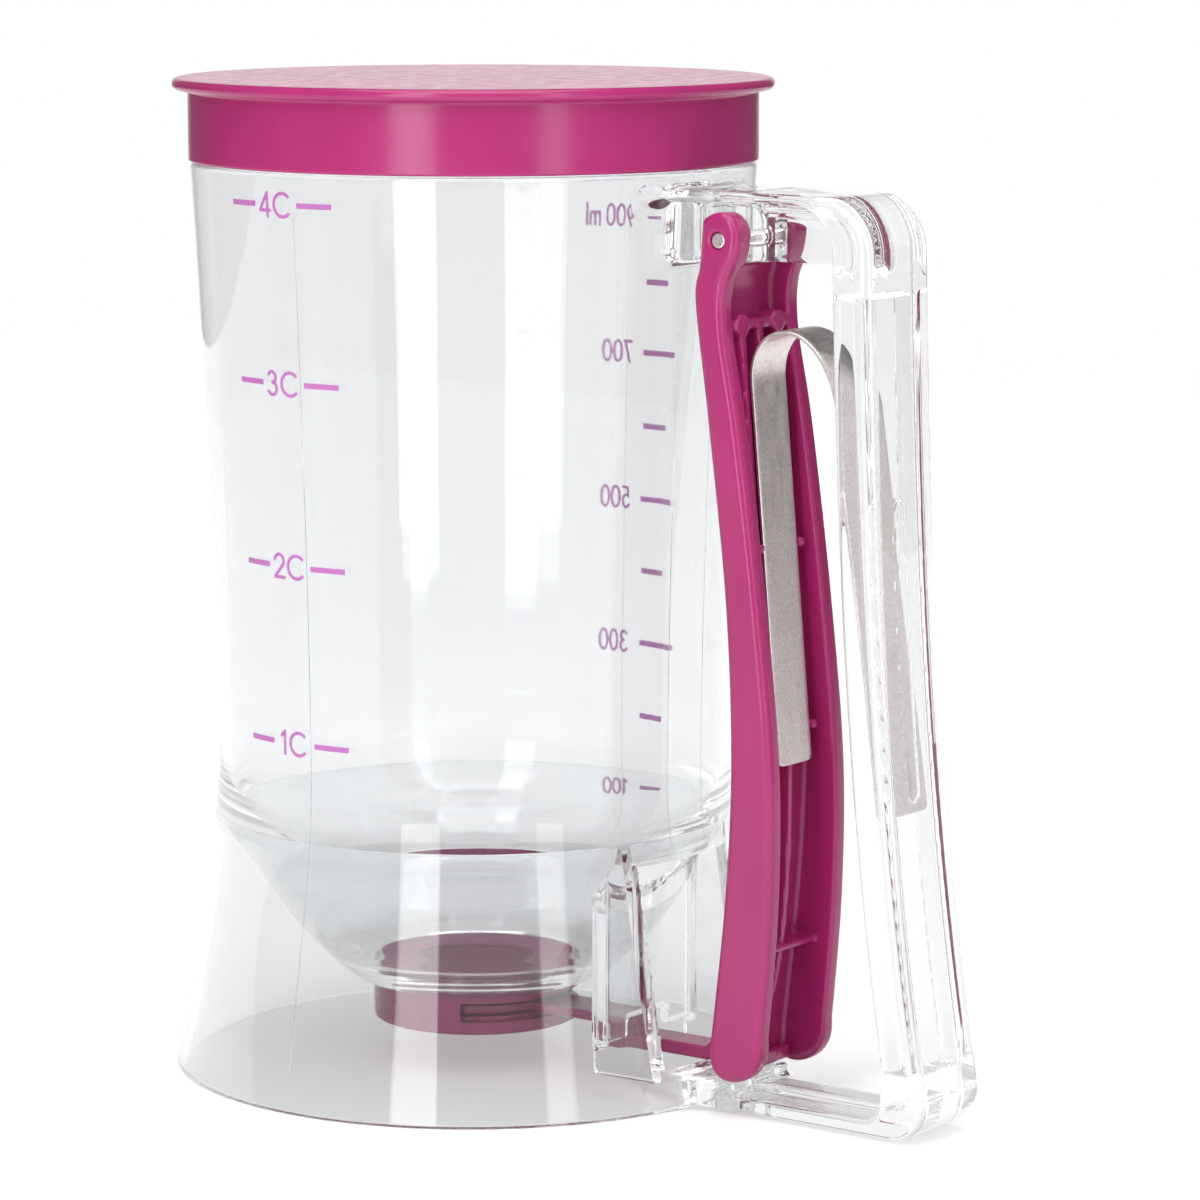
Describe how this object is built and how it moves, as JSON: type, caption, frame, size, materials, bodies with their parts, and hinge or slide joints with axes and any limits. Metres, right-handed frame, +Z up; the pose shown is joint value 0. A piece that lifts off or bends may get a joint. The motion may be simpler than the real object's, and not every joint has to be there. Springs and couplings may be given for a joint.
{
  "type": "pancake batter dispenser",
  "caption": "Clear handheld batter dispenser: measuring jar with lift-off lid, funnel bowl on a flared skirt, D handle, and a sprung trigger that slides a gate open under the outlet.",
  "frame": {"origin": "middle of the whole outline on the plane that the skirt stands on, which lies 25 mm from the jar's axis toward the handle", "axes": "+Z up along the jar, +X from the jar to the handle, +Y across the handle"},
  "size_m": [0.1646, 0.1146, 0.186],
  "materials": {
    "clear_plastic": "polished clear moulding",
    "pink_plastic": "satin gloss moulding",
    "soft_seal": "soft matte",
    "steel": "fine brushed"
  },
  "bodies": {
    "dispenser": {"jar": "clear_plastic", "base_skirt": "clear_plastic", "handle_loop": "clear_plastic", "pivot_pin": "steel", "leaf_spring": "steel", "valve_housing": "pink_plastic", "valve_seal": "soft_seal"},
    "trigger": {"trigger": "pink_plastic"},
    "gate": {"gate_slider": "pink_plastic"},
    "lid": {"lid": "pink_plastic"}
  },
  "joints": [
    {"name": "trigger_squeeze", "type": "hinge", "parent": "dispenser", "child": "trigger", "pos_m": [0.039, 0, 0.1591], "axis": [0, -1, 0], "range_deg": [0, 8.3], "stiffness_Nm_per_rad": 3, "springref_deg": -5.73, "deforming": ["leaf_spring"]},
    {"name": "gate_slide", "type": "slide", "parent": "dispenser", "child": "gate", "axis": [1, 0, 0], "range_m": [0, 0.0222]},
    {"name": "lid_lift", "type": "slide", "parent": "dispenser", "child": "lid", "axis": [0, 0, 1], "range_m": [0, 0.06]}
  ],
  "couplings": [
    {"joint": "gate_slide", "follows": "trigger_squeeze", "m_per_rad": 0.149}
  ]
}
